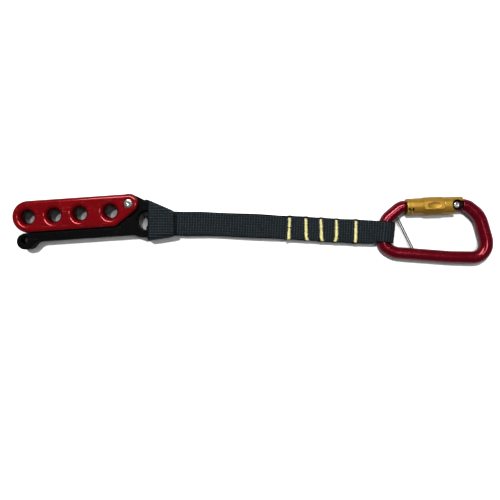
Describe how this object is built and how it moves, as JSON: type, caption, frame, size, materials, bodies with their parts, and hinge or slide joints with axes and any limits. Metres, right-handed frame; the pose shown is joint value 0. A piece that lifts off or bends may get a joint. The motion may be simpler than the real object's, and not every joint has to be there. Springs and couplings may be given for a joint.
{
  "type": "escape descender with webbing tether and auto-locking carabiner",
  "caption": "Red four-hole rope body pivoting on a black cam frame, with a sewn black webbing tether and a red auto-locking carabiner.",
  "frame": {"origin": "pivot axis of the rope body, at the rear end of the pivot rivet", "axes": "+X along the tether towards the carabiner, +Y towards the gate side, +Z out of the front face; the assembly lies on its back"},
  "size_m": [0.4634, 0.0679, 0.017],
  "materials": {
    "red_anodise": "satin red anodised",
    "black_anodise": "satin black anodised",
    "carabiner_red": "polished red anodised",
    "gold_anodise": "satin gold anodised",
    "steel": "bright",
    "bronze": "plain",
    "webbing": "woven nylon, black with a blue-green cast",
    "thread": "bonded polyester thread, pale yellow"
  },
  "bodies": {
    "cam_frame": {"cam_frame": "black_anodise", "pivot_bush": "bronze", "hitch_bight": "webbing", "hitch_wrap": "webbing"},
    "rope_body": {"rope_body": "red_anodise", "pivot_rivet": "steel"},
    "tether_legs": {"tether_leg_front": "webbing", "tether_leg_rear": "webbing"},
    "tether_sewn": {"sewn_tail": "webbing", "sewn_middle": "webbing", "sewn_rear": "webbing", "tether_eye": "webbing", "bartack_1": "thread", "bartack_2": "thread", "bartack_3": "thread", "bartack_4": "thread", "bartack_5": "thread"},
    "carabiner": {"carabiner_frame": "carabiner_red", "captive_wire": "steel", "gate_rivet": "steel"},
    "gate": {"gate": "carabiner_red", "gate_spring": "steel", "sleeve_spring": "steel"},
    "gate_plunger": {"gate_plunger": "steel"},
    "sleeve_washer": {"sleeve_washer": "steel"},
    "lock_sleeve": {"lock_sleeve": "gold_anodise"}
  },
  "joints": [
    {"name": "body_pivot", "type": "hinge", "parent": "cam_frame", "child": "rope_body", "pos_m": [0, 0, 0.0085], "axis": [0, 0, -1], "range_deg": [0, 75]},
    {"name": "hitch_flex", "type": "hinge", "parent": "cam_frame", "child": "tether_legs", "pos_m": [0.0468, -0.01881, 0.0085], "axis": [0.0471, 0.9989, 0], "range_deg": [-60, 60]},
    {"name": "sewn_flex", "type": "hinge", "parent": "tether_legs", "child": "tether_sewn", "pos_m": [0.1491, -0.02363, 0.0085], "axis": [0.0471, 0.9989, 0], "range_deg": [-60, 60]},
    {"name": "carabiner_swing", "type": "hinge", "parent": "tether_sewn", "child": "carabiner", "pos_m": [0.2463, -0.0286, 0.0085], "axis": [0.1184, 0.993, 0], "range_deg": [-75, 75]},
    {"name": "gate_hinge", "type": "hinge", "parent": "carabiner", "child": "gate", "pos_m": [0.315, -0.00115, 0.0085], "axis": [0, 0, 1], "range_deg": [0, 24], "stiffness_Nm_per_rad": 0.05},
    {"name": "plunger_slide", "type": "slide", "parent": "gate", "child": "gate_plunger", "axis": [-0.9996, -0.0279, 0], "range_m": [0, 0.0009], "deforming": ["gate_spring"]},
    {"name": "sleeve_slide", "type": "slide", "parent": "gate", "child": "sleeve_washer", "axis": [0.9996, 0.0279, 0], "range_m": [0, 0.002], "stiffness_N_per_m": 400, "deforming": ["sleeve_spring"]},
    {"name": "sleeve_twist", "type": "hinge", "parent": "sleeve_washer", "child": "lock_sleeve", "pos_m": [0.315, -0.00115, 0.0085], "axis": [0.9996, 0.0279, 0], "range_deg": [-90, 0]}
  ],
  "couplings": [
    {"joint": "plunger_slide", "follows": "gate_hinge", "m_per_rad": 0.0019}
  ]
}
